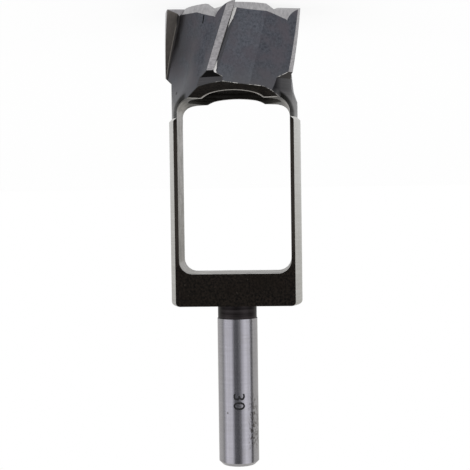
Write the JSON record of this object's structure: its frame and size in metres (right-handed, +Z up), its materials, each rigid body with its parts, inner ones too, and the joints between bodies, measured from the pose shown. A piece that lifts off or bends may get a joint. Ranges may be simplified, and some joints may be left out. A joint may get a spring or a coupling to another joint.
{
  "type": "plug cutter",
  "caption": "One-piece steel cutter that saws round wooden plugs: a toothed ring on an open rectangular frame, with a round drill shank on the same axis",
  "frame": {"origin": "on the cutter's axis, in the plane of the ring around the mouth of the bore, which it stands on", "axes": "+Z runs up the axis from the cutting end to the shank, X runs across the two legs, Y runs through the open window"},
  "size_m": [0.0436, 0.0433, 0.1465],
  "materials": {
    "tool_steel": "black forged flats, bright where turned and ground"
  },
  "bodies": {
    "root": {"plug_cutter": "tool_steel"}
  },
  "joints": []
}
